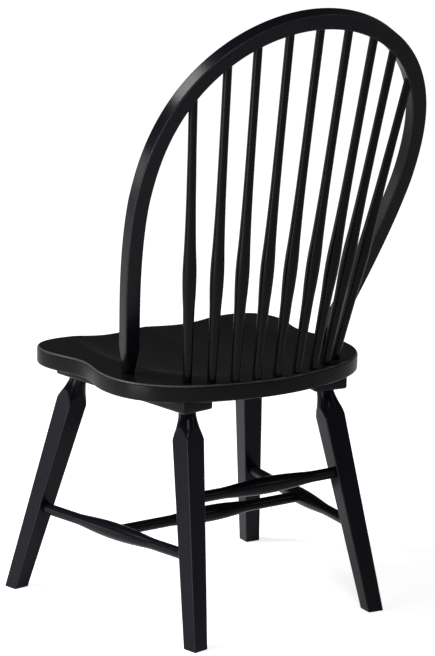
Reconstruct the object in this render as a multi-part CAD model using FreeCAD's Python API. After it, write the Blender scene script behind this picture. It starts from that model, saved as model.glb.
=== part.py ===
import FreeCAD, Part
import os
import math

# Bow-back windsor dining chair, in millimetres.
# The chair faces -Y, its left side is +X, and it stands on z = 0.

# Seat board
seat_rear_height = 433.0      # top of the seat at its rear edge
seat_tilt = 2.5               # degrees, the front edge is higher
seat_thickness = 30.0
seat_rear = 178.0             # rear edge, distance behind the origin
seat_depth = 427.0
seat_front_width = 497.0
seat_waist_width = 459.0
seat_rear_width = 489.0
seat_front_bow = 9.0          # hollow of the front edge between pommel and corner
seat_top_round = 5.0
seat_bottom_round = 4.0
dish_depth = 9.0
dish_width = 116.0            # half width of each of the two hollows
dish_length = 216.0           # half length of each hollow
dish_offset = 62.0            # middle of each hollow from the centre line
dish_centre = -98.0

# Bow, drawn in its own leaning plane
bow_lean = 24.14              # degrees from upright
bow_foot_y = 16.6             # where the bow plane meets the height of the seat
bow_rise = 656.5              # centre line, from the seat up to the crown
bow_widest = 265.2            # half width of the centre line at its widest
bow_widest_rise = 354.0
bow_foot_inset = 27.5         # centre line at the seat, in from the side of the waist
bow_foot_ease = 0.142         # how much straighter the bow runs into its foot
bow_in_plane = 28.0
bow_through = 23.6
bow_edge_round = 2.5
bow_foot_diameter = 21.0
bow_foot_taper_length = 62.0
bow_foot_depth = 22.0

# Spindles, the middle one first and the outermost last
spindle_seat_x = [0.0, 41.0, 80.0, 116.0, 151.0]
spindle_seat_y = [162.7, 161.7, 154.9, 139.8, 120.2]
spindle_top_x = [0.0, 58.0, 114.5, 164.0, 215.0]
spindle_end_diameter = 15.0
spindle_top_diameter = 14.4
spindle_swell_diameter = 23.2
spindle_swell_height = 192.0
spindle_seat_depth = 20.0

# Legs
leg_foot_size = 28.4
leg_top_size = 38.7           # size that the taper of the leg reaches at the top level
leg_neck_diameter = 29.4
leg_turned_length = 57.0      # round part, from the underside of the cleat down to the square part
leg_edge_round = 2.0
leg_foot_chamfer = 1.0
leg_seat_depth = 14.0         # how far the leg goes into the seat board
leg_top_level = 345.6         # level at which the top size and the top positions are given
front_leg_inset = 60.0        # top position, in from the side of the seat at the front
front_leg_setback = 58.5      # top position, behind the front edge of the seat
front_splay_out = 65.5        # how far the foot stands outside the top position
front_splay_ahead = 92.5
rear_leg_inset = 99.0         # top position, in from the side of the seat at the rear
rear_leg_setback = 65.0       # top position, ahead of the rear edge of the seat
rear_splay_out = 38.0
rear_splay_back = 75.0

# Cleats
cleat_width = 64.0
cleat_thickness = 21.0
cleat_front_over = 29.0       # length past the front leg axis
cleat_rear_over = 28.0        # length past the rear leg axis
cleat_inset = 1.5             # how far the cleat's middle lies inside the line of the legs
cleat_corner_round = 5.0
cleat_edge_round = 4.5

# Stretchers
stretcher_end_diameter = 19.4
stretcher_swell_diameter = 29.4
stretcher_depth = 16.0        # length inside a leg, from its axis side
side_front_level = 153.0
side_rear_level = 147.4
side_swell_half = 100.0
cross_share = 0.509           # place of the cross stretcher along the side stretcher
cross_swell_half = 85.0
cross_depth = 8.0
rear_level = 240.4
rear_swell_half = 95.0

# Screws that hold the cleats up against the seat
screw_diameter = 4.2
screw_head_diameter = 8.4
screw_length = 36.0
screw_recess = 0.6
screw_from_front = [25.524, 103.903]    # distances behind the axis of the front leg
screw_from_rear = [104.903, 26.524]     # distances ahead of the axis of the rear leg

# Clearances of the glued and screwed joints
glue_gap = 0.1
screw_gap = 0.15
lift_gap = 0.5                # space left at the bottom of each blind hole

# Places that follow from the sizes above
bow_foot_half = seat_waist_width / 2 - bow_foot_inset
front_top_x = seat_front_width / 2 - front_leg_inset
front_top_y = seat_rear - seat_depth + front_leg_setback
front_foot_x = front_top_x + front_splay_out
front_foot_y = front_top_y - front_splay_ahead
rear_top_x = seat_rear_width / 2 - rear_leg_inset
rear_top_y = seat_rear - rear_leg_setback
rear_foot_x = rear_top_x + rear_splay_out
rear_foot_y = rear_top_y + rear_splay_back

os.makedirs("parts", exist_ok=True)

spindle_count = 2 * len(spindle_seat_x) - 1


def vec(x, y, z):
    return FreeCAD.Vector(x, y, z)


def seat_height(y):
    """Height of the flat top of the seat at y."""
    return seat_rear_height + math.tan(math.radians(seat_tilt)) * (seat_rear - y)


def seat_place():
    """Placement that tilts the flat drawn board about its rear edge."""
    turn = FreeCAD.Rotation(vec(1, 0, 0), -seat_tilt)
    pivot = vec(0, seat_rear, 0)
    return FreeCAD.Placement(vec(0, 0, seat_rear_height), turn, pivot)


def mirrored(shape):
    """The same shape on the other side of the chair."""
    return shape.mirror(vec(0, 0, 0), vec(1, 0, 0))


def turned(start, end, profile):
    """Solid of revolution about start-end. profile holds pairs of length and radius."""
    axis = end.sub(start)
    points = [vec(radius, 0, length) for length, radius in profile]
    edges = [Part.makeLine(vec(0, 0, profile[0][0]), points[0])]
    for first, second in zip(points, points[1:]):
        edges.append(Part.makeLine(first, second))
    edges.append(Part.makeLine(points[-1], vec(0, 0, profile[-1][0])))
    edges.append(Part.makeLine(vec(0, 0, profile[-1][0]), vec(0, 0, profile[0][0])))
    solid = Part.Face(Part.Wire(edges)).revolve(vec(0, 0, 0), vec(0, 0, 1), 360)
    solid.Placement = FreeCAD.Placement(start, FreeCAD.Rotation(vec(0, 0, 1), axis))
    return solid


def smooth_turned(start, end, ends, curve):
    """As turned, with one smooth curve through the pairs in curve between two straight ends."""
    axis = end.sub(start)
    line = Part.BSplineCurve()
    line.interpolate([vec(radius, 0, length) for length, radius in curve])
    first = vec(curve[0][1], 0, curve[0][0])
    last = vec(curve[-1][1], 0, curve[-1][0])
    low = vec(ends[0][1], 0, ends[0][0])
    high = vec(ends[1][1], 0, ends[1][0])
    edges = [Part.makeLine(vec(0, 0, low.z), low), Part.makeLine(low, first), line.toShape()]
    edges.append(Part.makeLine(last, high))
    edges.append(Part.makeLine(high, vec(0, 0, high.z)))
    edges.append(Part.makeLine(vec(0, 0, high.z), vec(0, 0, low.z)))
    solid = Part.Face(Part.Wire(edges)).revolve(vec(0, 0, 0), vec(0, 0, 1), 360)
    solid.Placement = FreeCAD.Placement(start, FreeCAD.Rotation(vec(0, 0, 1), axis))
    return solid


def rod(start, end, diameter):
    """Plain cylinder between two points."""
    axis = end.sub(start)
    return Part.makeCylinder(diameter / 2, axis.Length, start, axis)


def along(start, end, length):
    """Point at a length from start towards end."""
    way = end.sub(start)
    way.normalize()
    return start.add(way.multiply(length))


def bow_point(u, v):
    """Point of the bow plane, u across and v up the plane from the seat."""
    lean = math.radians(bow_lean)
    return vec(u, bow_foot_y + v * math.sin(lean), seat_rear_height + v * math.cos(lean))


def bow_half_width(v):
    """Half width of the bow's centre line at v, fuller than an ellipse above and straight at the foot."""
    if v >= bow_widest_rise:
        share = min((v - bow_widest_rise) / (bow_rise - bow_widest_rise), 1.0)
        return bow_widest * math.sqrt(1 - share ** 2.45)
    share = (bow_widest_rise - v) / bow_widest_rise
    fall = share ** 1.5 * (1 + bow_foot_ease * (1 - share ** 6))
    return bow_widest - (bow_widest - bow_foot_half) * fall


def bow_line():
    """Points of the bow's centre line from the left foot over the crown to the right foot."""
    left = []
    for step in range(-1, 9):
        v = bow_widest_rise * step / 9
        left.append((bow_half_width(max(v, 0.0)) + min(v, 0.0) * 0.12, v))
    for step in range(0, 9):
        angle = math.radians(90.0 * step / 9)
        v = bow_widest_rise + (bow_rise - bow_widest_rise) * math.sin(angle) ** (2 / 2.45)
        left.append((bow_widest * math.cos(angle), v))
    right = [(-u, v) for u, v in reversed(left)]
    return left + [(0.0, bow_rise)] + right


def bow_side(shift):
    """Curve beside the bow's centre line in the flat drawing, shift outwards."""
    centre = Part.BSplineCurve()
    centre.interpolate([vec(u, v, 0) for u, v in bow_line()])
    first = centre.FirstParameter
    last = centre.LastParameter
    points = []
    for step in range(0, 49):
        place = first + (last - first) * step / 48
        here = centre.value(place)
        way = centre.tangent(place)[0]
        points.append(vec(here.x + way.y * shift, here.y - way.x * shift, 0))
    side = Part.BSplineCurve()
    side.interpolate(points)
    return side.toShape()


def bow_foot_axis():
    """Foot of the bow on the seat and a point further up its centre line."""
    foot = bow_point(bow_foot_half, 0.0)
    up = bow_point(bow_half_width(55.0), 55.0)
    lift = (seat_height(foot.y) - foot.z) / (up.z - foot.z)
    foot = foot.add(up.sub(foot).multiply(lift))
    return foot, up


def bow_foot_limit(extra):
    """Round tapered foot: the tenon and the cone that the square bow is worked down to."""
    foot, up = bow_foot_axis()
    radius = bow_foot_diameter / 2 + extra
    corner = math.hypot(bow_in_plane, bow_through) / 2
    profile = [(-bow_foot_depth - extra, radius), (0, radius)]
    profile.append((bow_foot_taper_length, corner + extra))
    return turned(foot, up, profile)


def bow():
    outer = bow_side(bow_in_plane / 2)
    inner = bow_side(-bow_in_plane / 2)
    ends = [Part.makeLine(outer.Vertexes[i].Point, inner.Vertexes[i].Point) for i in (0, 1)]
    face = Part.Face(Part.Wire(Part.__sortEdges__([outer, inner] + ends)))
    solid = face.extrude(vec(0, 0, bow_through))
    solid.translate(vec(0, 0, -bow_through / 2))
    long_edges = [edge for edge in solid.Edges if edge.Length > bow_rise]
    solid = solid.makeFillet(bow_edge_round, long_edges)
    turn = FreeCAD.Rotation(vec(1, 0, 0), 90.0 - bow_lean)
    solid.Placement = FreeCAD.Placement(bow_point(0.0, 0.0), turn)
    foot, up = bow_foot_axis()
    shell = rod(along(foot, up, -4 * bow_foot_depth), along(foot, up, bow_foot_taper_length), 90.0)
    shell = shell.cut(bow_foot_limit(0.0))
    solid = solid.cut(shell).cut(mirrored(shell))
    for index in range(spindle_count):
        base, top = spindle_axis(index)
        solid = solid.cut(rod(base, along(top, base, -lift_gap), spindle_top_diameter + 2 * glue_gap))
    return solid


def spindle_axis(index):
    """Where a spindle's axis meets the seat, and its end on the bow's centre line."""
    place = abs(index - spindle_count // 2)
    side = -1 if index < spindle_count // 2 else 1
    base_y = spindle_seat_y[place]
    u = side * spindle_top_x[place]
    low = bow_widest_rise
    high = bow_rise
    for _ in range(40):
        middle = (low + high) / 2
        if bow_half_width(middle) > abs(u):
            low = middle
        else:
            high = middle
    return vec(side * spindle_seat_x[place], base_y, seat_height(base_y)), bow_point(u, low)


def spindle(index):
    base, top = spindle_axis(index)
    length = top.sub(base).Length
    low = spindle_end_diameter / 2
    high = spindle_top_diameter / 2
    swell = spindle_swell_diameter / 2 - low
    peak = spindle_swell_height
    curve = [(0.0, low), (0.25 * peak, low + 0.12 * swell), (0.55 * peak, low + 0.38 * swell)]
    curve += [(0.69 * peak, low + 0.53 * swell), (0.83 * peak, low + 0.84 * swell), (peak, low + swell)]
    curve += [(peak + 20, low + 0.91 * swell), (peak + 46, low + 0.63 * swell)]
    curve += [(peak + 73, low + 0.43 * swell), (peak + 126, low + 0.15 * swell)]
    curve += [(peak + 180, low + 0.02 * swell), (0.8 * length, high)]
    ends = [(-spindle_seat_depth, low), (length, high)]
    return smooth_turned(base, top, ends, curve)


def leg_axis(foot_x, foot_y, top_x, top_y):
    """Foot point on the floor and unit vector up the leg."""
    foot = vec(foot_x, foot_y, 0)
    way = vec(top_x - foot_x, top_y - foot_y, leg_top_level)
    way.normalize()
    return foot, way


def front_axis():
    return leg_axis(front_foot_x, front_foot_y, front_top_x, front_top_y)


def rear_axis():
    return leg_axis(rear_foot_x, rear_foot_y, rear_top_x, rear_top_y)


def at_level(axis, level):
    """Point of a leg's axis at a height above the floor."""
    foot, way = axis
    return foot.add(FreeCAD.Vector(way).multiply(level / way.z))


def at_seat(axis, below):
    """Point of a leg's axis at a depth below the flat top of the seat."""
    point = at_level(axis, seat_rear_height)
    for _ in range(6):
        point = at_level(axis, seat_height(point.y) - below)
    return point


def cleat_way():
    """Unit vector along the left cleat, from front to rear."""
    below = seat_thickness + cleat_thickness
    way = at_seat(rear_axis(), below).sub(at_seat(front_axis(), below))
    way.normalize()
    return way


def square(size, level):
    half = size / 2
    corners = [vec(-half, -half, level), vec(half, -half, level)]
    corners += [vec(half, half, level), vec(-half, half, level)]
    return Part.makePolygon(corners + corners[:1])


def leg_size(level):
    """Side of the square leg at a height above the floor."""
    return leg_foot_size + (leg_top_size - leg_foot_size) * level / leg_top_level


def leg(axis):
    foot, way = axis
    low = -40.0
    under = at_seat(axis, seat_thickness + cleat_thickness)
    shoulder = under.sub(foot).Length - leg_turned_length
    top = at_seat(axis, seat_thickness - leg_seat_depth).sub(foot).Length
    wires = [square(leg_size(low * way.z), low), square(leg_size(top * way.z), top)]
    solid = Part.makeLoft(wires, True, True)
    long_edges = [edge for edge in solid.Edges if edge.Length > shoulder]
    solid = solid.makeFillet(leg_edge_round, long_edges)
    corner = leg_size(shoulder * way.z) * 0.7071
    neck = leg_neck_diameter / 2
    turned_shape = [(0.0, 1.0), (0.26, 0.74), (0.42, 0.47), (0.58, 0.25), (0.75, 0.07), (0.92, 0.0)]
    curve = []
    for share, size in turned_shape:
        curve.append((shoulder + share * leg_turned_length, neck + size * (corner - neck)))
    ends = [(low, corner + 2 * leg_foot_size), (top, neck)]
    limit = smooth_turned(vec(0, 0, 0), vec(0, 0, 1), ends, curve)
    solid = solid.common(limit)
    side = cleat_way().cross(way)
    side.normalize()
    ahead = way.cross(side)
    solid.Placement = FreeCAD.Placement(foot, FreeCAD.Rotation(side, ahead, way, "ZXY"))
    floor = Part.makeBox(400, 400, 100, vec(foot.x - 200, foot.y - 200, -100))
    solid = solid.cut(floor)
    ring = [edge for edge in solid.Edges if edge.BoundBox.ZMax < 0.01]
    return solid.makeChamfer(leg_foot_chamfer, ring)


def side_stretcher_axis():
    return at_level(front_axis(), side_front_level), at_level(rear_axis(), side_rear_level)


def rear_stretcher_axis():
    right = at_level(rear_axis(), rear_level)
    return vec(-right.x, right.y, right.z), right


def cross_stretcher_axis():
    front, rear = side_stretcher_axis()
    middle = front.add(rear.sub(front).multiply(cross_share))
    return vec(-middle.x, middle.y, middle.z), middle


def leg_bite(level, shift):
    """Distance from a leg's axis to the blind end of a stretcher at this level."""
    return leg_size(level) / 2 - stretcher_depth + shift


def stretcher(start, end, start_in, end_in, middle, swell_half):
    """Turned stretcher. start_in and end_in are the lengths left off at each axis."""
    length = end.sub(start).Length
    low = stretcher_end_diameter / 2
    swell = stretcher_swell_diameter / 2 - low
    curve = []
    for step in range(-6, 7):
        share = step / 6
        curve.append((middle + swell_half * share, low + swell * (1 - share ** 2) ** 1.5))
    ends = [(start_in, low), (length - end_in, low)]
    return smooth_turned(start, end, ends, curve)


def side_stretcher():
    front, rear = side_stretcher_axis()
    middle = rear.sub(front).Length * cross_share
    solid = stretcher(front, rear, leg_bite(side_front_level, 0.0), leg_bite(side_rear_level, 0.0),
                      middle, side_swell_half)
    return solid.cut(cross_hole())


def cross_hole():
    left, right = cross_stretcher_axis()
    gap = stretcher_swell_diameter / 2 - cross_depth - lift_gap
    return rod(left, along(right, left, gap), stretcher_end_diameter + 2 * glue_gap)


def cross_stretcher():
    left, right = cross_stretcher_axis()
    gap = stretcher_swell_diameter / 2 - cross_depth
    return stretcher(left, right, gap, gap, right.x, cross_swell_half)


def rear_stretcher():
    left, right = rear_stretcher_axis()
    gap = leg_bite(rear_level, 0.0)
    return stretcher(left, right, gap, gap, right.x, rear_swell_half)


def drilled_leg(axis, other, level, is_rear):
    """Leg with its blind holes for the stretchers."""
    diameter = stretcher_end_diameter + 2 * glue_gap
    solid = leg(axis)
    here = at_level(axis, level)
    gap = leg_bite(level, -lift_gap)
    solid = solid.cut(rod(along(here, other, gap), other, diameter))
    if is_rear:
        left, right = rear_stretcher_axis()
        gap = leg_bite(rear_level, -lift_gap)
        solid = solid.cut(rod(along(right, left, gap), left, diameter))
    return solid


def front_leg():
    return drilled_leg(front_axis(), side_stretcher_axis()[1], side_front_level, False)


def rear_leg():
    return drilled_leg(rear_axis(), side_stretcher_axis()[0], side_rear_level, True)


def cleat_ends():
    """Ends of the left cleat's centre line on its underside."""
    below = seat_thickness + cleat_thickness
    way = cleat_way()
    front = at_seat(front_axis(), below).sub(FreeCAD.Vector(way).multiply(cleat_front_over))
    rear = at_seat(rear_axis(), below).add(FreeCAD.Vector(way).multiply(cleat_rear_over))
    return front, rear


def leg_hole(axis):
    """Round hole that a leg's neck goes up into, through the cleat and into the seat."""
    low = at_seat(axis, seat_thickness + cleat_thickness + 10)
    high = at_seat(axis, seat_thickness - leg_seat_depth - lift_gap)
    return rod(low, high, leg_neck_diameter + 2 * glue_gap)


def seat_up():
    """Unit vector square to the seat."""
    tilt = math.radians(seat_tilt)
    return vec(0, math.sin(tilt), math.cos(tilt))


def screw_points():
    """Places of the screws on the underside of the left cleat."""
    below = seat_thickness + cleat_thickness
    front = at_seat(front_axis(), below)
    rear = at_seat(rear_axis(), below)
    points = [along(front, rear, length) for length in screw_from_front]
    return points + [along(rear, front, length) for length in screw_from_rear]


def screw(point):
    """Countersunk wood screw, driven upwards from the underside of a cleat."""
    up = seat_up()
    head = screw_head_diameter / 2
    shank = screw_diameter / 2
    cone = head - shank
    profile = [(screw_recess, head), (screw_recess + cone, shank)]
    profile += [(screw_recess + screw_length - 5, shank), (screw_recess + screw_length, 0.6)]
    return turned(point, point.add(up), profile)


def screw_hole(point):
    up = seat_up()
    head = screw_head_diameter / 2 + screw_gap
    shank = screw_diameter / 2 + screw_gap
    cone = head - shank
    profile = [(-1.0, head), (screw_recess, head), (screw_recess + cone, shank)]
    profile += [(screw_recess + screw_length + lift_gap, shank)]
    return turned(point, point.add(up), profile)


def cleat():
    front, rear = cleat_ends()
    length = rear.sub(front).Length
    outer = -cleat_width / 2 - cleat_inset
    solid = Part.makeBox(cleat_width, length, cleat_thickness, vec(outer, 0, 0))
    upright = [edge for edge in solid.Edges if edge.BoundBox.ZLength > cleat_thickness - 1]
    solid = solid.makeFillet(cleat_corner_round, upright)
    under = [edge for edge in solid.Edges if edge.BoundBox.ZMax < 0.01]
    solid = solid.makeFillet(cleat_edge_round, under)
    up = seat_up()
    way = cleat_way()
    side = way.cross(up)
    solid.Placement = FreeCAD.Placement(front, FreeCAD.Rotation(side, way, up, "ZXY"))
    solid = solid.cut(leg_hole(front_axis())).cut(leg_hole(rear_axis()))
    for point in screw_points():
        solid = solid.cut(screw_hole(point))
    return solid


def seat_outline():
    """Closed outline of the board, drawn flat."""
    front = seat_rear - seat_depth
    wide_front = seat_front_width / 2
    waist = seat_waist_width / 2
    wide_rear = seat_rear_width / 2
    half = [(0, front + 1), (0.39 * wide_front, front + seat_front_bow)]
    half += [(0.70 * wide_front, front + 0.6), (0.905 * wide_front, front + 14)]
    half += [(wide_front, front + 60), (0.97 * wide_front, front + 112)]
    half += [(waist, front + 0.385 * seat_depth), (0.985 * wide_rear, front + 0.53 * seat_depth)]
    half += [(wide_rear, front + 0.64 * seat_depth), (0.935 * wide_rear, front + 0.775 * seat_depth)]
    half += [(0.73 * wide_rear, seat_rear - 44), (0.42 * wide_rear, seat_rear - 14)]
    other = [(-x, y) for x, y in reversed(half[1:])]
    points = [vec(x, y, 0) for x, y in half + [(0, seat_rear)] + other]
    line = Part.BSplineCurve()
    line.interpolate(points, PeriodicFlag=True)
    return Part.Wire([line.toShape()])


def hollow(side):
    """Shallow hollow for one thigh, cut from the flat top."""
    radius = 4.5 * dish_depth
    reach = math.sqrt(1 - ((radius - dish_depth) / radius) ** 2)
    ball = Part.makeSphere(1.0)
    grow = FreeCAD.Matrix()
    grow.scale(dish_width / reach, dish_length / reach, radius)
    shape = ball.transformGeometry(grow)
    shape.translate(vec(side * dish_offset, dish_centre, radius - dish_depth))
    return shape


def seat():
    solid = Part.Face(seat_outline()).extrude(vec(0, 0, -seat_thickness))
    top = [edge for edge in solid.Edges if edge.BoundBox.ZMin > -0.01]
    solid = solid.makeFillet(seat_top_round, top)
    bottom = [edge for edge in solid.Edges if edge.BoundBox.ZMax < -seat_thickness + 0.01]
    solid = solid.makeFillet(seat_bottom_round, bottom)
    solid = solid.cut(hollow(1)).cut(hollow(-1))
    solid.Placement = seat_place()
    for axis in (front_axis(), rear_axis()):
        hole = leg_hole(axis)
        solid = solid.cut(hole).cut(mirrored(hole))
    for index in range(spindle_count):
        base, top_end = spindle_axis(index)
        low = along(base, top_end, -spindle_seat_depth - lift_gap)
        solid = solid.cut(rod(low, along(base, top_end, 10), spindle_end_diameter + 2 * glue_gap))
    foot, up = bow_foot_axis()
    low = along(foot, up, -bow_foot_depth - lift_gap)
    hole = rod(low, along(foot, up, 3), bow_foot_diameter + 2 * glue_gap)
    solid = solid.cut(hole).cut(mirrored(hole))
    for point in screw_points():
        hole = screw_hole(point)
        solid = solid.cut(hole).cut(mirrored(hole))
    return solid


def save(name, shape):
    shape.exportStep("parts/" + name + ".step")


save("seat", seat())
save("bow", bow())
for index in range(spindle_count):
    save("spindle_%d" % (index + 1), spindle(spindle_count - 1 - index))

left_front = front_leg()
left_rear = rear_leg()
save("leg_front_left", left_front)
save("leg_front_right", mirrored(left_front))
save("leg_rear_left", left_rear)
save("leg_rear_right", mirrored(left_rear))

left_cleat = cleat()
save("cleat_left", left_cleat)
save("cleat_right", mirrored(left_cleat))

left_side = side_stretcher()
save("stretcher_side_left", left_side)
save("stretcher_side_right", mirrored(left_side))
save("stretcher_cross", cross_stretcher())
save("stretcher_rear", rear_stretcher())

screws = [screw(point) for point in screw_points()]
save("cleat_screws", Part.makeCompound(screws + [mirrored(one) for one in screws]))
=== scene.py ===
import math

import bpy
import numpy as np
from mathutils import Matrix, Vector


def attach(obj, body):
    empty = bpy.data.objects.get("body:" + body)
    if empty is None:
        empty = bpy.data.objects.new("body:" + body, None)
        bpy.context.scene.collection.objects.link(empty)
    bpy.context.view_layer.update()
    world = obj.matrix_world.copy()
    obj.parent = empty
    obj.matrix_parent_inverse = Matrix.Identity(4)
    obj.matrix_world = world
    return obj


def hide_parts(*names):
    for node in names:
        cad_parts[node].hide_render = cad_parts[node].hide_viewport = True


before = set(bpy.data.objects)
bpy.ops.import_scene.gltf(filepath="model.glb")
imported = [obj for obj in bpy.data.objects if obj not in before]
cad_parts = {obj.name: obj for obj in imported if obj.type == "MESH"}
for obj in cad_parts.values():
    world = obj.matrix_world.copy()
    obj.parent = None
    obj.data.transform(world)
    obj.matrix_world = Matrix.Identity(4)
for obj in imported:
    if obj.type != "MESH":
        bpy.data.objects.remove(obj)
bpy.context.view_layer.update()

# Seat
# One thick board, cut to a waisted outline, rounded at its edges and hollowed for the thighs.
# Its lacquer is smooth enough to mirror the spindles faintly. Spindles, bow and legs are glued into it.
seat_rear_height = 0.433
seat_tilt = math.radians(2.5)
seat_rear = 0.178
seat_thickness = 0.030
seat_front = -0.249
seat_depth = seat_rear - seat_front
seat_wide_front = 0.2485
seat_waist = 0.2295
seat_wide_rear = 0.2445
seat_top_round = 0.005
seat_bottom_round = 0.004
seat_outline_points = 520
dish_depth = 0.009
dish_width = 0.116
dish_length = 0.216
dish_offset = 0.062
dish_centre = -0.098
dish_radius = 4.5 * dish_depth
dish_soft = 0.0007
dish_blend = 9
seat_colour = (0.0032, 0.0032, 0.0034, 1.0)
seat_grain_start = [0.31, 0.07, 0.0]

# Points on the left half of the outline, from the middle of the front edge round to the rear.
seat_half = [
    (0.0, seat_front + 0.001),
    (0.39 * seat_wide_front, seat_front + 0.009),
    (0.70 * seat_wide_front, seat_front + 0.0006),
    (0.905 * seat_wide_front, seat_front + 0.014),
    (seat_wide_front, seat_front + 0.060),
    (0.97 * seat_wide_front, seat_front + 0.112),
    (seat_waist, seat_front + 0.385 * seat_depth),
    (0.985 * seat_wide_rear, seat_front + 0.53 * seat_depth),
    (seat_wide_rear, seat_front + 0.64 * seat_depth),
    (0.935 * seat_wide_rear, seat_front + 0.775 * seat_depth),
    (0.73 * seat_wide_rear, seat_rear - 0.044),
    (0.42 * seat_wide_rear, seat_rear - 0.014),
]


def closed_curve(knots, count):
    """Smooth closed curve: cubic pieces through the knots, with equal slope and bend on both sides of each.

    With h the chord lengths and m the second derivatives, every knot asks for
    h0 m0 + 2 (h0 + h1) m1 + h1 m2 = 6 (chord1 / h1 - chord0 / h0).
    """
    knots = np.array(knots)
    size = len(knots)
    here = np.arange(size)
    after = (here + 1) % size
    chord = knots[after] - knots
    h = np.linalg.norm(chord, axis=1)
    before = np.roll(h, 1)
    system = np.zeros((size, size))
    system[here, here] = 2 * (before + h)
    system[here, here - 1] += before
    system[here, after] += h
    slope = chord / h[:, None]
    bend = np.linalg.solve(system, 6 * (slope - np.roll(slope, 1, 0)))
    place = np.linspace(0, h.sum(), count, endpoint=False)
    ends = np.cumsum(h)
    k = np.searchsorted(ends, place, side="right")
    w = h[k][:, None]
    t = (place - ends[k] + h[k])[:, None]
    curve = (bend[k] * (w - t) ** 3 + bend[after[k]] * t ** 3) / (6 * w)
    curve += (knots[k] / w - bend[k] * w / 6) * (w - t)
    return curve + (knots[after[k]] / w - bend[after[k]] * w / 6) * t


# How many rings a board has on its top, round each of its two edges and underneath.
top_rings = 90
edge_rings = 10
under_rings = 12


def board(outline, thickness, top_round, bottom_round):
    """Rings of a board whose top is z = 0, from the middle of the top, round the edge, to the middle below.

    A top edge of radius r is at angle a drawn in by r (1 - sin a) and lowered by r (1 - cos a).
    A bottom edge is drawn in by r (1 - cos a) and lowered by r sin a from where it starts.
    """
    way = np.roll(outline, -1, 0) - np.roll(outline, 1, 0)
    inward = np.stack([-way[:, 1], way[:, 0]], 1) / np.linalg.norm(way, axis=1)[:, None]
    flat = outline + inward * top_round
    under = outline + inward * bottom_round
    middle = outline.mean(0)
    arc = np.linspace(0, math.pi / 2, edge_rings)
    low = bottom_round - thickness
    steps = [(middle + (flat - middle) * share, 0.0) for share in np.linspace(0.01, 0.995, top_rings)]
    for a in arc:
        steps.append((outline + inward * top_round * (1 - math.sin(a)), top_round * (math.cos(a) - 1)))
    for a in arc:
        steps.append((outline + inward * bottom_round * (1 - math.cos(a)), low - bottom_round * math.sin(a)))
    for share in np.linspace(0.97, 0.02, under_rings):
        steps.append((middle + (under - middle) * share, -thickness))
    return np.array([np.column_stack([xy, np.full(len(xy), z)]) for xy, z in steps])


def wear_and_highlight_ring(rings, middle, spread):
    """1 on the middle ring, falling to 0 over the given number of rings, for the arris that is painted grey:
    partly wear, partly a painted highlight.
    """
    return np.clip(1 - np.abs(np.arange(len(rings)) - middle) / spread, 0, 1)[:, None]


def hollow_depth(x, y):
    """Depth of the two thigh hollows, each a cap of an ellipsoid.

    With d the distance from a hollow's centre, in shares of its half width and half length, a cap is
    c = radius sqrt(1 - reach d squared) - radius + depth. It is softened to
    (c + sqrt(c squared + soft squared)) / 2, and the two are joined by the root of the sum of their powers.
    """
    reach = 1 - (1 - dish_depth / dish_radius) ** 2
    total = 0.0
    for side in (-1, 1):
        far = ((x - side * dish_offset) / dish_width) ** 2 + ((y - dish_centre) / dish_length) ** 2
        cap = dish_radius * np.sqrt(np.maximum(1 - far * reach, 0)) - dish_radius + dish_depth
        total = total + ((cap + np.sqrt(cap ** 2 + dish_soft ** 2)) / 2) ** dish_blend
    return total ** (1 / dish_blend)


def mesh_piece(name, points, faces):
    """New smooth-shaded object from rows of points and lists of their numbers."""
    mesh = bpy.data.meshes.new(name)
    mesh.from_pydata(points.tolist(), [], faces)
    mesh.shade_smooth()
    piece = bpy.data.objects.new(name, mesh)
    bpy.context.collection.objects.link(piece)
    return piece


def skin(name, rings, fibre, edge):
    """Closed mesh through rings of points, ended at both sides by a fan round the middle of the last ring.

    fibre gives each point's place in the wood, with its third value along the grain.
    edge is 1 on an arris and 0 away from it. The lacquer paints a grey there, partly wear and partly a
    painted highlight.
    Rings that run the wrong way round are turned over, so that the faces look outwards.
    """
    sharp_angle = math.radians(38)
    count, around = rings.shape[:2]
    edge = np.broadcast_to(edge, (count, around))
    facing = np.cross(np.roll(rings[:-1], -1, 1) - rings[:-1], rings[1:] - rings[:-1])
    if np.sum(facing * (rings[:-1] - rings.mean((0, 1)))) < 0:
        rings, fibre, edge = rings[:, ::-1], fibre[:, ::-1], edge[:, ::-1]
    index = np.arange(count * around).reshape(count, around)
    ahead = np.roll(index, -1, 1)
    faces = np.stack([index[:-1], ahead[:-1], ahead[1:], index[1:]], -1).reshape(-1, 4).tolist()
    first_middle = count * around
    last_middle = first_middle + 1
    faces += [(b, a, first_middle) for a, b in zip(index[0].tolist(), ahead[0].tolist())]
    faces += [(a, b, last_middle) for a, b in zip(index[-1].tolist(), ahead[-1].tolist())]
    piece = mesh_piece(name, np.concatenate([rings.reshape(-1, 3), rings[[0, -1]].mean(1)]), faces)
    piece.data.set_sharp_from_angle(angle=sharp_angle)
    grain = np.concatenate([fibre.reshape(-1, 3), fibre[[0, -1]].mean(1)])
    piece.data.attributes.new("fibre", "FLOAT_VECTOR", "POINT").data.foreach_set("vector", grain.ravel())
    wear_and_highlight = np.concatenate([edge.ravel(), [0, 0]])
    piece.data.attributes.new("edge", "FLOAT", "POINT").data.foreach_set("value", wear_and_highlight)
    return piece


class Term:
    """A shader socket that takes part in Python sums: each operator adds one Math node."""

    def __init__(self, tree, socket):
        self.tree = tree
        self.socket = socket

    def maths(self, kind, *values):
        return self.tree.add("ShaderNodeMath", {"operation": kind}, *values)

    def __add__(self, other):
        return self.maths("ADD", self, other)

    def __radd__(self, other):
        return self.maths("ADD", other, self)

    def __sub__(self, other):
        return self.maths("SUBTRACT", self, other)

    def __rsub__(self, other):
        return self.maths("SUBTRACT", other, self)

    def __mul__(self, other):
        return self.maths("MULTIPLY", self, other)

    def __rpow__(self, other):
        return self.maths("POWER", other, self)


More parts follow.
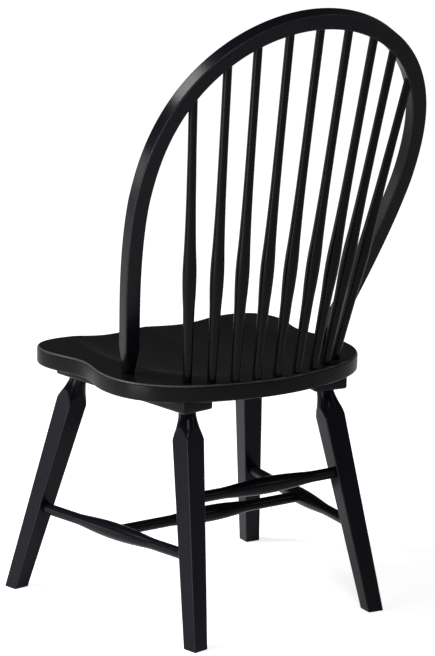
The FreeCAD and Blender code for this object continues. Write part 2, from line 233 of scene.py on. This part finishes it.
class Finish:
    """The node tree of a material or of the world.

    add makes a node from its type, its settings and the values of its inputs, given by place or by name,
    and returns the named output. set gives values to the inputs of a node that is there from the start.
    A value is a constant or a Term. An underscore in a name stands for a space.
    """

    def __init__(self, owner):
        owner.use_nodes = True
        self.owner = owner
        self.links = owner.node_tree.links
        self.nodes = owner.node_tree.nodes

    def add(self, kind, settings=None, *values, output=0, **named):
        node = self.nodes.new(kind)
        for key, value in (settings or {}).items():
            setattr(node, key, value)
        for place, value in enumerate(values):
            self.plug(node.inputs[place], value)
        for name, value in named.items():
            self.plug(node.inputs[name.replace("_", " ")], value)
        return Term(self, node.outputs[output])

    def set(self, node, **named):
        for name, value in named.items():
            self.plug(self.nodes[node].inputs[name.replace("_", " ")], value)

    def plug(self, socket, value):
        if isinstance(value, Term):
            self.links.new(value.socket, socket)
        elif value is not None:
            socket.default_value = value

    def blend(self, share, first, second):
        """Colour between two colours. The Mix node has five inputs for other kinds before them."""
        others = [None] * 5
        return self.add("ShaderNodeMix", {"data_type": "RGBA"}, share, *others, first, second, output=2)


def lacquer(name, colour, rough=0.24, grain=0.10, wear_and_highlight=0.055):
    """Black satin lacquer over wood. Noise stretched along the grain gives pores and broad bands.

    Bands and clouds vary the tone, clouds and pores the roughness, and pores and bands give the relief.
    grain is the strength of the relief. The arrises get a grey, partly rubbed lacquer and partly a painted
    highlight of the light they catch.
    """
    shine = 0.08
    relief_height = 0.0001
    lighter = [part * 1.7 for part in colour[:3]] + [1.0]
    # Grey for the arrises: partly wear, partly a painted highlight.
    rubbed_and_highlight_colour = (wear_and_highlight, wear_and_highlight, wear_and_highlight * 1.08, 1.0)
    finish = Finish(bpy.data.materials.new(name))
    place = finish.add("ShaderNodeAttribute", {"attribute_name": "fibre"}, output="Vector")
    edge = finish.add("ShaderNodeAttribute", {"attribute_name": "edge"}, output="Fac")
    pore_place = finish.add("ShaderNodeMapping", Vector=place, Scale=(520.0, 520.0, 26.0))
    pores = finish.add("ShaderNodeTexNoise", Vector=pore_place, Scale=1.0, Detail=4.0, Roughness=0.6)
    band_place = finish.add("ShaderNodeMapping", Vector=place, Scale=(95.0, 95.0, 5.0))
    bands = finish.add("ShaderNodeTexNoise", Vector=band_place, Scale=1.0, Detail=3.0)
    cloud = finish.add("ShaderNodeTexNoise", Vector=place, Scale=14.0, Detail=2.0)
    speck = finish.add("ShaderNodeTexNoise", Vector=place, Scale=260.0, Detail=3.0)
    tone = finish.blend(bands * 0.6 + cloud * 0.4, colour, lighter)
    # Where the arrises are painted grey, with specks: partly wear, partly a painted highlight.
    rubbed_and_highlight = edge * (speck * 0.7 + 0.2)
    waves = pores + bands * 0.5
    relief = finish.add("ShaderNodeBump", Strength=grain, Distance=relief_height, Height=waves)
    finish.set("Principled BSDF", Base_Color=finish.blend(rubbed_and_highlight, tone, rubbed_and_highlight_colour), Normal=relief,
               Roughness=rough + (cloud - 0.5) * 0.10 + (pores - 0.5) * 0.05 - edge * 0.03,
               Specular_IOR_Level=shine)
    return finish.owner


def fit(piece, node, material):
    """Put a piece in place of its CAD node, on the chair's one body."""
    piece.data.materials.append(material)
    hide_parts(node)
    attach(piece, "root")


seat_knots = seat_half + [(0.0, seat_rear)] + [(-x, y) for x, y in seat_half[:0:-1]]
outline = closed_curve(seat_knots, seat_outline_points)
rings = board(outline, seat_thickness, seat_top_round, seat_bottom_round)
top = np.arange(len(rings)) < top_rings + edge_rings
rings[top, :, 2] = np.minimum(rings[top, :, 2], -hollow_depth(rings[top, :, 0], rings[top, :, 1]))
grain = rings[:, :, [1, 2, 0]] + seat_grain_start
behind = rings[:, :, 1] - seat_rear
rings[:, :, 1] = seat_rear + behind * math.cos(seat_tilt) + rings[:, :, 2] * math.sin(seat_tilt)
rings[:, :, 2] = seat_rear_height + rings[:, :, 2] * math.cos(seat_tilt) - behind * math.sin(seat_tilt)
# The seat's top arris gets a bright grey: a painted highlight line along the rounded edge, with some wear.
seat = skin("seat_board", rings, grain, wear_and_highlight_ring(rings, top_rings + 4, 3))
fit(seat, "seat", lacquer("seat_lacquer", seat_colour, rough=0.29, grain=0.05, wear_and_highlight=0.13))

# Bow
# One strip steamed and bent to a hoop, nearly square with broken arrises.
# Both feet are worked down to round tenons, which are let into the seat.
bow_lean = math.radians(24.14)
bow_foot_y = 0.0166
bow_rise = 0.6565
bow_widest = 0.2652
bow_widest_rise = 0.354
bow_crown_power = 2.45
bow_foot_half = 0.202
bow_foot_power = 1.5
bow_foot_ease = 0.142
bow_ease_power = 6
bow_in_plane = 0.028
bow_through = 0.0236
bow_edge_round = 0.0025
bow_foot_radius = 0.0105
bow_foot_taper_length = 0.062
bow_foot_depth = 0.022
bow_foot_points = 8
bow_low_points = 110
bow_crown_points = 130
piece_colour = (0.0028, 0.0028, 0.0045, 1.0)

# A section counts as whole, with its arrises painted grey (partly wear, partly a painted highlight), while
# no more than a thousandth is cut off it.
uncut = 0.999


def bow_half_width(v):
    """Half width at v up the bow's plane.

    Above the widest place it is a superellipse. Below it, it falls by share ** foot_power, times
    1 + ease (1 - share ** ease_power), which straightens the foot.
    """
    above = np.clip((v - bow_widest_rise) / (bow_rise - bow_widest_rise), 0, 1)
    below = np.clip((bow_widest_rise - v) / bow_widest_rise, 0, 1)
    full = bow_widest * np.sqrt(1 - above ** bow_crown_power)
    eased = 1 + bow_foot_ease * (1 - below ** bow_ease_power)
    return full - (bow_widest - bow_foot_half) * below ** bow_foot_power * eased


def seat_height(y):
    """Height of the seat's top before the dish."""
    return seat_rear_height + math.tan(seat_tilt) * (seat_rear - y)


def bow_place(flat):
    """Points of the bow's flat drawing (across, up, through) set in its leaning plane."""
    across, up, through = flat[..., 0], flat[..., 1], flat[..., 2]
    y = bow_foot_y + up * math.sin(bow_lean) + through * math.cos(bow_lean)
    z = seat_rear_height + up * math.cos(bow_lean) - through * math.sin(bow_lean)
    return np.stack([across, y, z], -1)


def rounded_square(width, height, corner_round, flats=8, turns=7):
    """Points round a rectangle with rounded corners, and how near each lies to a corner's middle."""
    corners = [(1, 1, 0), (-1, 1, 90), (-1, -1, 180), (1, -1, 270)]
    points = []
    edge = []

    def corner_point(corner, share):
        side_x, side_y, start = corner
        angle = math.radians(start + 90 * share)
        middle = np.array([side_x * (width / 2 - corner_round), side_y * (height / 2 - corner_round)])
        return middle + corner_round * np.array([math.cos(angle), math.sin(angle)])

    for corner, after in zip(corners, corners[1:] + corners[:1]):
        for step in range(turns + 1):
            points.append(corner_point(corner, step / turns))
            edge.append(1 - abs(2 * step / turns - 1))
        last = points[-1]
        flat_side = corner_point(after, 0) - last
        for step in range(1, flats):
            points.append(last + flat_side * step / flats)
            edge.append(0.0)
    return np.array(points), np.array(edge)


# The left half of the centre line, from the seat up to the crown, and its tenon straight on below.
# The line starts level with the seat's rear, so it meets the seat's top a little further up.
low_part = np.linspace(0, bow_widest_rise, bow_low_points)[:-1]
turn = np.linspace(0, math.pi / 2, bow_crown_points)
crown = bow_widest_rise + (bow_rise - bow_widest_rise) * np.sin(turn) ** (2 / bow_crown_power)
left = np.concatenate([
    np.stack([bow_half_width(low_part), low_part], 1),
    np.stack([bow_widest * np.cos(turn), crown], 1),
])
foot_way = left[bow_foot_points] - left[0]
foot_way /= np.linalg.norm(foot_way)
sunk = (seat_height(bow_foot_y) - seat_rear_height) / math.cos(bow_lean)
tenon = left[0] - foot_way * np.linspace(bow_foot_depth - sunk, 0.001, bow_foot_points)[:, None]
left = np.concatenate([tenon, left])
line = np.concatenate([left, (left * [-1, 1])[-2::-1]])
length = np.concatenate([[0], np.cumsum(np.linalg.norm(np.diff(line, axis=0), axis=1))])
way = np.gradient(line, axis=0)
way /= np.linalg.norm(way, axis=1)[:, None]
side = np.stack([way[:, 1], -way[:, 0]], 1)

# Near the seat the section is cut to a circle that grows from the foot's radius to the section's corner.
section, arris = rounded_square(bow_in_plane, bow_through, bow_edge_round)
reach = np.minimum(length, length[-1] - length) - bow_foot_depth
corner = math.hypot(bow_in_plane, bow_through) / 2
limit = bow_foot_radius + (corner - bow_foot_radius) * np.clip(reach / bow_foot_taper_length, 0, 1)
shrink = np.minimum(1, limit[:, None] / np.linalg.norm(section, axis=1))
placed = section * shrink[:, :, None]
flat = line[:, None, :] + side[:, None, :] * placed[:, :, :1]
flat = np.concatenate([flat, placed[:, :, 1:]], -1)
grain = np.concatenate([placed, np.broadcast_to(length[:, None, None], placed.shape[:2] + (1,))], -1)
bow = skin("bow_hoop", bow_place(flat), grain, arris * (shrink > uncut))
fit(bow, "bow", lacquer("bow_lacquer", piece_colour))

# Spindles
# Nine slim turnings with a swelling in the lower third, glued into blind holes in the seat and the bow.
# They are listed from the middle one outwards and numbered from the chair's left.
spindle_seat_x = [0.0, 0.041, 0.080, 0.116, 0.151]
spindle_seat_y = [0.1627, 0.1617, 0.1549, 0.1398, 0.1202]
spindle_top_x = [0.0, 0.058, 0.1145, 0.164, 0.215]
spindle_middle = len(spindle_seat_x) - 1
spindle_end_radius = 0.0075
spindle_top_radius = 0.0072
spindle_swell = 0.0041
spindle_swell_height = 0.192
spindle_seat_depth = 0.020
spindle_top_share = 0.8
spindle_rings = 170
spindle_colour = (0.0018, 0.0018, 0.0024, 1.0)

# How much of the swelling there is, at shares of its height below it and at distances above it.
swell_below = [(0.0, 0.0), (0.25, 0.12), (0.55, 0.38), (0.69, 0.53), (0.83, 0.84), (1.0, 1.0)]
swell_above = [(0.02, 0.91), (0.046, 0.63), (0.073, 0.43), (0.126, 0.15), (0.18, 0.02)]


def turning(name, start, end, lengths, radii, around=40):
    """Lathe-turned piece: circles of the given radii about the line from start to end.

    Each piece has its own stretch of wood, found from where its ends lie.
    """
    start = np.array(start)
    axis = (np.array(end) - start) / np.linalg.norm(np.array(end) - start)
    first = np.cross(axis, [0.0, 1.0, 0.0] if abs(axis[1]) < 0.9 else [1.0, 0.0, 0.0])
    first /= np.linalg.norm(first)
    second = np.cross(axis, first)
    angle = np.linspace(0, 2 * math.pi, around, endpoint=False)
    circle = np.cos(angle)[:, None] * first + np.sin(angle)[:, None] * second
    rings = start + axis * lengths[:, None, None] + circle * radii[:, None, None]
    flat = np.stack([np.cos(angle), np.sin(angle)], 1) * radii[:, None, None]
    grain = np.concatenate([flat, np.broadcast_to(lengths[:, None, None], flat.shape[:2] + (1,))], -1)
    spread = 3.0
    wood_start = np.array([start[0] + start[1], start[1] - end[0], start[2] + end[1]]) * spread
    return skin(name, rings, grain + wood_start, 0.0)


def smooth_through(places, values, where):
    """Smooth curve through pairs: cubic pieces between knots, level at both ends.

    The slope at each knot between is the mean of its neighbours' slopes, weighted for uneven gaps.
    """
    places = np.array(places)
    values = np.array(values)
    slope = np.gradient(values, places)
    slope[0] = slope[-1] = 0
    k = np.clip(np.searchsorted(places, where, side="right") - 1, 0, len(places) - 2)
    width = places[k + 1] - places[k]
    t = np.clip((where - places[k]) / width, 0, 1)
    from_values = values[k] * (1 + 2 * t) * (1 - t) ** 2 + values[k + 1] * t ** 2 * (3 - 2 * t)
    return from_values + width * (slope[k] * t * (1 - t) ** 2 - slope[k + 1] * t ** 2 * (1 - t))


spindle_lacquer = lacquer("spindle_lacquer", spindle_colour, rough=0.25)
bow_level_count = 4000
bow_levels = np.linspace(bow_widest_rise, bow_rise, bow_level_count)
peak = spindle_swell_height
for index in range(2 * spindle_middle + 1):
    place = abs(index - spindle_middle)
    hand = 1 if index < spindle_middle else -1
    base = [hand * spindle_seat_x[place], spindle_seat_y[place], seat_height(spindle_seat_y[place])]
    up = np.interp(-spindle_top_x[place], -bow_half_width(bow_levels), bow_levels)
    end = bow_place(np.array([hand * spindle_top_x[place], up, 0.0]))
    height = np.linalg.norm(end - base)
    knots = [share * peak for share, _ in swell_below] + [peak + over for over, _ in swell_above]
    radii = [spindle_end_radius + spindle_swell * part for _, part in swell_below + swell_above]
    lengths = np.linspace(-spindle_seat_depth, height, spindle_rings)
    radii = smooth_through(knots + [spindle_top_share * height], radii + [spindle_top_radius], lengths)
    spindle = turning("spindle_turned_%d" % (index + 1), base, end, lengths, radii)
    fit(spindle, "spindle_%d" % (index + 1), spindle_lacquer)

# Legs
# Square tapered legs with broken arrises and a small chamfer at the foot.
# Each is turned to a round neck at the top, which is glued up through the cleat into the seat.
leg_foot_size = 0.0284
leg_top_size = 0.0387
leg_neck_radius = 0.0147
leg_turned_length = 0.057
leg_edge_round = 0.002
leg_foot_chamfer = 0.001
leg_seat_depth = 0.014
leg_top_level = 0.3456
leg_straight_rings = 60
leg_turned_rings = 90
leg_colour = (0.0023, 0.0023, 0.0048, 1.0)
cleat_thickness = 0.021
front_foot = np.array([0.254, -0.283, 0.0])
front_top = np.array([0.1885, -0.1905, leg_top_level])
rear_foot = np.array([0.1835, 0.188, 0.0])
rear_top = np.array([0.1455, 0.113, leg_top_level])

# Share of the turned length, and how much of the square's corner is left over the neck's radius there.
neck_shape = [(0.0, 1.0), (0.26, 0.74), (0.42, 0.47), (0.58, 0.25), (0.75, 0.07), (0.92, 0.0)]


def at_level(foot, top, level):
    return foot + (top - foot) * level / leg_top_level


def under_seat(foot, top, below):
    """Where a leg's axis passes a depth below the flat top of the seat, found by a few repeated steps."""
    point = at_level(foot, top, seat_rear_height)
    for _ in range(6):
        point = at_level(foot, top, seat_height(point[1]) - below)
    return point


def leg_size(level):
    """Side of a leg's square, which grows at an even rate with the level."""
    return leg_foot_size + (leg_top_size - leg_foot_size) * level / leg_top_level


cleat_front = under_seat(front_foot, front_top, seat_thickness + cleat_thickness)
cleat_rear = under_seat(rear_foot, rear_top, seat_thickness + cleat_thickness)
cleat_way = (cleat_rear - cleat_front) / np.linalg.norm(cleat_rear - cleat_front)
leg_lacquer = lacquer("leg_lacquer", leg_colour)


def leg_rings(foot, top):
    """Rings up a leg: a rounded square, cut at the top by the turned shape.

    The rings are square to the leg. Towards the foot they are tilted, until the first lies on the floor.
    """
    half_diagonal = 0.7071
    tilt_end = 0.02
    axis = (top - foot) / np.linalg.norm(top - foot)
    across = np.cross(cleat_way, axis)
    across /= np.linalg.norm(across)
    ahead = np.cross(axis, across)
    under_cleat = np.linalg.norm(under_seat(foot, top, seat_thickness + cleat_thickness) - foot)
    height = np.linalg.norm(under_seat(foot, top, seat_thickness - leg_seat_depth) - foot)
    shoulder = under_cleat - leg_turned_length
    straight = np.linspace(0.004, shoulder - 0.001, leg_straight_rings)
    turned = np.linspace(shoulder, under_cleat, leg_turned_rings)
    lengths = np.concatenate([[0, leg_foot_chamfer], straight, turned, [height]])
    unit, arris = rounded_square(1.0, 1.0, leg_edge_round / leg_top_size, flats=22)
    size = leg_size(lengths * axis[2])
    size[0] -= 2 * leg_foot_chamfer
    corner = leg_size(shoulder * axis[2]) * half_diagonal
    knots = [shoulder + share * leg_turned_length for share, _ in neck_shape]
    wide = [leg_neck_radius + part * (corner - leg_neck_radius) for _, part in neck_shape]
    turned_radius = np.where(lengths < shoulder, 1.0, smooth_through(knots, wide, lengths))
    flat = unit * size[:, None, None]
    shrink = np.minimum(1, turned_radius[:, None] / np.linalg.norm(flat, axis=2))
    flat = flat * shrink[:, :, None]
    lean = (flat[:, :, 0] * across[2] + flat[:, :, 1] * ahead[2]) / axis[2]
    level = lengths[:, None] - lean * np.clip(1 - lengths / (shoulder - tilt_end), 0, 1)[:, None]
    level[0] = -lean[0]
    rings = foot + axis * level[:, :, None] + across * flat[:, :, :1] + ahead * flat[:, :, 1:]
    grain = np.concatenate([flat, level[:, :, None]], -1)
    return rings, grain, arris * (shrink > uncut)


for place, foot, top in (("front", front_foot, front_top), ("rear", rear_foot, rear_top)):
    rings, grain, edge = leg_rings(foot, top)
    for hand, side_name in ((1, "left"), (-1, "right")):
        placed = rings * [hand, 1, 1]
        leg = skin("leg_shaped_%s_%s" % (place, side_name), placed, grain * [hand, 1, 1] + foot, edge)
        fit(leg, "leg_%s_%s" % (place, side_name), leg_lacquer)

# Cleats
# Two boards under the seat, one at each side, from front to rear, each held up by four wood screws.
# The necks of the legs pass through them, and their lower edges are rounded and painted a little grey,
# partly as wear and partly as a painted highlight.
cleat_width = 0.064
cleat_front_over = 0.029
cleat_rear_over = 0.028
cleat_inset = 0.0015
cleat_corner_round = 0.005
cleat_edge_round = 0.0045
cleat_top_round = 0.0003
cleat_wear_and_highlight = 0.8

cleat_length = np.linalg.norm(cleat_rear - cleat_front) + cleat_front_over + cleat_rear_over
section, arris = rounded_square(cleat_width, cleat_length, cleat_corner_round, flats=24, turns=9)
rings = board(section, cleat_thickness, cleat_top_round, cleat_edge_round)
seat_up = np.array([0.0, math.sin(seat_tilt), math.cos(seat_tilt)])
cleat_side = np.cross(cleat_way, seat_up)
middle = (cleat_front + cleat_rear + cleat_way * (cleat_rear_over - cleat_front_over)) / 2
middle = middle - cleat_side * cleat_inset
placed = middle + rings[:, :, :1] * cleat_side + rings[:, :, 1:2] * cleat_way
placed = placed + (rings[:, :, 2:] + cleat_thickness) * seat_up
grain = rings[:, :, [0, 2, 1]]
# The rounded lower edges are painted grey: partly wear, partly a painted highlight.
rim = wear_and_highlight_ring(rings, top_rings + edge_rings + 5, 6) * cleat_wear_and_highlight
cleat_lacquer = lacquer("cleat_lacquer", piece_colour)
for hand, side_name in ((1, "left"), (-1, "right")):
    cleat = skin("cleat_board_%s" % side_name, placed * [hand, 1, 1], grain + hand, rim)
    fit(cleat, "cleat_%s" % side_name, cleat_lacquer)

# Stretchers
# Turned rails with a swelling in the middle, glued into blind holes in the legs and in one another.
# One lies low at each side, one goes across between those two, and one lies high between the rear legs.
stretcher_end_radius = 0.0097
stretcher_swell = 0.005
stretcher_depth = 0.016
stretcher_rings = 170
stretcher_around = 44
side_front_level = 0.153
side_rear_level = 0.1474
side_swell_half = 0.100
cross_share = 0.509
cross_swell_half = 0.085
cross_depth = 0.008
rear_level = 0.2404
rear_swell_half = 0.095


def stretcher(name, node, start, end, start_in, end_in, middle, swell_half):
    """Rail whose radius is the end radius plus the swelling times (1 - share ** 2) ** 1.5."""
    lengths = np.linspace(start_in, np.linalg.norm(end - start) - end_in, stretcher_rings)
    share = np.clip((lengths - middle) / swell_half, -1, 1)
    radii = stretcher_end_radius + stretcher_swell * (1 - share ** 2) ** 1.5
    rail = turning(name, start, end, lengths, radii, stretcher_around)
    fit(rail, node, rail_lacquer)


def leg_bite(level):
    """Distance from a leg's axis to the end of a stretcher's tenon."""
    return leg_size(level) / 2 - stretcher_depth


rail_lacquer = lacquer("rail_lacquer", piece_colour)
flip = np.array([-1.0, 1.0, 1.0])
front = at_level(front_foot, front_top, side_front_level)
rear = at_level(rear_foot, rear_top, side_rear_level)
bites = leg_bite(side_front_level), leg_bite(side_rear_level)
middle = np.linalg.norm(rear - front) * cross_share
for side_name, hand in (("left", 1.0), ("right", flip)):
    stretcher("rail_side_" + side_name, "stretcher_side_" + side_name, front * hand, rear * hand, *bites,
              middle, side_swell_half)
cross = front + (rear - front) * cross_share
gap = stretcher_end_radius + stretcher_swell - cross_depth
stretcher("rail_cross", "stretcher_cross", cross * flip, cross, gap, gap, cross[0], cross_swell_half)
high = at_level(rear_foot, rear_top, rear_level)
bite = leg_bite(rear_level)
stretcher("rail_rear", "stretcher_rear", high * flip, high, bite, bite, high[0], rear_swell_half)

# Screws
# Zinc plated countersunk wood screws, driven up through the cleats into the seat.
# They keep their CAD node, and only its material is changed.
zinc = Finish(bpy.data.materials.new("zinc_plate"))
spot = zinc.add("ShaderNodeTexCoord", output="Object")
brushed = zinc.add("ShaderNodeTexNoise", Vector=spot, Scale=900.0, Detail=2.0)
tarnish = zinc.add("ShaderNodeTexNoise", Vector=spot, Scale=160.0, Detail=3.0)
zinc_colour = zinc.blend(tarnish, (0.55, 0.53, 0.47, 1.0), (0.38, 0.36, 0.32, 1.0))
zinc.set("Principled BSDF", Base_Color=zinc_colour, Metallic=1.0, Roughness=0.28 + brushed * 0.18)
for material_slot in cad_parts["cleat_screws"].material_slots:
    material_slot.material = zinc.owner

# Studio
# A wide white floor that curves up to a low rim, under soft lamps. The floor gives back most of its white
# by itself, so that only a faint shadow of the chair is left on it.
floor_flat = 14.0
floor_end = 17.0
floor_rings = 30
rim_height = 1.0
rim_rings = 11
floor_around = 96
floor_below = 0.0004
floor_white = (0.93, 0.93, 0.93, 1.0)
floor_shade = 0.24
floor_shade_fall = 0.28
mirror_dim = 0.9
mirror_dim_fall = 0.05
mirror_pool = 0.45
mirror_pool_fall = 0.5
plain_white = (1.0, 1.0, 1.0, 1.0)
air_light = 0.06

angle = np.linspace(0, 2 * math.pi, floor_around, endpoint=False)
curve = np.linspace(0, 1, rim_rings + 1)[1:]
spans = np.concatenate([np.linspace(0.02, 1, floor_rings) * floor_flat,
                        floor_flat + (floor_end - floor_flat) * curve])
levels = np.concatenate([np.zeros(floor_rings), rim_height * curve ** 2]) - floor_below
rings = np.stack([np.outer(spans, np.cos(angle)), np.outer(spans, np.sin(angle)),
                  np.repeat(levels[:, None], floor_around, 1)], -1)
index = np.arange(len(rings) * floor_around).reshape(-1, floor_around)
ahead = np.roll(index, -1, 1)
faces = np.stack([index[:-1], index[1:], ahead[1:], ahead[:-1]], -1).reshape(-1, 4).tolist()
floor = mesh_piece("studio_floor", rings.reshape(-1, 3), faces + [index[0].tolist()])

white = Finish(bpy.data.materials.new("studio_white"))
camera_ray = white.add("ShaderNodeLightPath", output="Is Camera Ray")
glossy_ray = white.add("ShaderNodeLightPath", output="Is Glossy Ray")
transmission_ray = white.add("ShaderNodeLightPath", output="Is Transmission Ray")
spot = white.add("ShaderNodeTexCoord", output="Object")
distance = white.add("ShaderNodeVectorMath", {"operation": "LENGTH"}, spot, output="Value")
distance_squared = distance * distance


def near_chair(fall):
    """1 under the chair, falling with the distance d as 2.718 ** (-fall d squared)."""
    return 2.718 ** (distance_squared * -fall)


# The camera sees white, less what the lamps add to it near the chair. The lacquer mirrors a darker floor,
# as in a real studio: dimmed over a wide stretch, with a brighter pool right under the chair.
seen = 1.0 - near_chair(floor_shade_fall) * floor_shade
mirrored = 1.0 - near_chair(mirror_dim_fall) * mirror_dim + near_chair(mirror_pool_fall) * mirror_pool
strength = camera_ray * seen + (glossy_ray + transmission_ray) * mirrored
glow = white.add("ShaderNodeEmission", Color=plain_white, Strength=strength)
matt = white.add("ShaderNodeBsdfDiffuse", Color=floor_white)
white.set("Material Output", Surface=white.add("ShaderNodeAddShader", {}, glow, matt))
floor.data.materials.append(white.owner)

world = bpy.data.worlds.new("studio")
bpy.context.scene.world = world
Finish(world).set("Background", Strength=air_light, Color=plain_white)

# Each lamp's place, the point that it faces, its width, height and power. Two lamps hang high. Two stand
# low, at the left and in front, where the seat doesn't mirror them. A narrow one stands behind at the right.
lamps = {
    "top": ((1.9, -0.9, 2.6), (0.0, 0.1, 0.6), 1.2, 1.0, 96.0),
    "left": ((1.75, 0.25, 0.36), (0.0, 0.1, 0.75), 0.9, 0.6, 15.0),
    "front": ((2.7, -2.4, 0.66), (0.0, 0.1, 0.6), 1.4, 0.7, 12.5),
    "behind": ((1.3, 2.3, 2.8), (0.0, 0.1, 0.6), 0.8, 0.6, 22.0),
    "right": ((-1.9, 2.4, 1.9), (0.0, 0.1, 0.6), 0.3, 1.2, 5.0),
}


def looking(place, target):
    """Matrix of something that stands at a place, faces a target along its -Z axis and has its Y axis up."""
    turn = (Vector(target) - Vector(place)).to_track_quat("-Z", "Y").to_matrix().to_4x4()
    return Matrix.Translation(place) @ turn


for name, (place, target, width, height, power) in lamps.items():
    data = bpy.data.lights.new(name, "AREA")
    data.shape = "RECTANGLE"
    data.size = width
    data.size_y = height
    data.energy = power
    lamp = bpy.data.objects.new(name, data)
    lamp.matrix_world = looking(place, target)
    lamp.visible_camera = False
    bpy.context.collection.objects.link(lamp)

# Camera
# It looks from behind and the chair's left, a little above the bow, with a long lens.
# Its place, aim and roll were solved from the edges in the photograph.
lens = 136.34
stand = Vector((2.3451, 3.4415, 1.3446))
aim = Vector((0.0605, 0.0763, 0.5077))
roll = math.radians(-0.311)
camera_data = bpy.data.cameras.new("camera")
camera_data.lens = lens
camera_data.sensor_width = 36.0
camera_data.clip_end = 100.0
camera = bpy.data.objects.new("camera", camera_data)
camera.matrix_world = looking(stand, aim) @ Matrix.Rotation(roll, 4, "Z")
bpy.context.collection.objects.link(camera)
bpy.context.scene.camera = camera
bpy.context.scene.view_settings.view_transform = "Standard"
